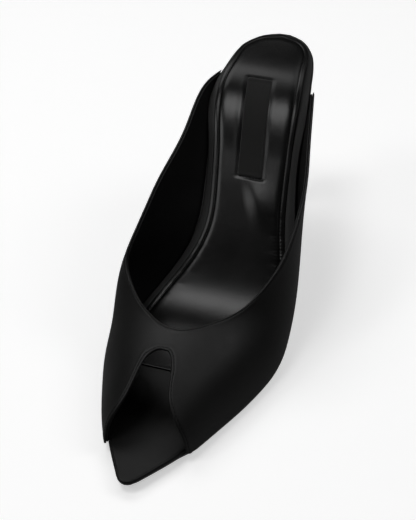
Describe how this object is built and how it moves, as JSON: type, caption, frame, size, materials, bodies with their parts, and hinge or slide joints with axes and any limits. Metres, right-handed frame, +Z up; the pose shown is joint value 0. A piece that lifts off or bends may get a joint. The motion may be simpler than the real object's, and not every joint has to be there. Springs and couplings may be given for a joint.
{
  "type": "peep-toe mule",
  "caption": "High-heeled backless mule in smooth black leather with an open pointed toe, low-cut collar, padded insole and slim covered heel.",
  "frame": {"origin": "centre of the shoe's bounding box, on the floor that it stands on", "axes": "toe towards -Y, heel towards +Y, +X to the lateral side, +Z up"},
  "size_m": [0.0816, 0.2346, 0.0978],
  "materials": {
    "upper": "satin",
    "outsole": "matte",
    "insole_board": "satin",
    "insole_sock": "satin",
    "label": "woven",
    "heel": "satin",
    "heel_tip": "matte"
  },
  "bodies": {
    "root": {"upper": "upper", "outsole": "outsole", "insole_board": "insole_board", "insole_sock": "insole_sock", "label": "label", "heel": "heel", "heel_tip": "heel_tip"}
  },
  "joints": []
}
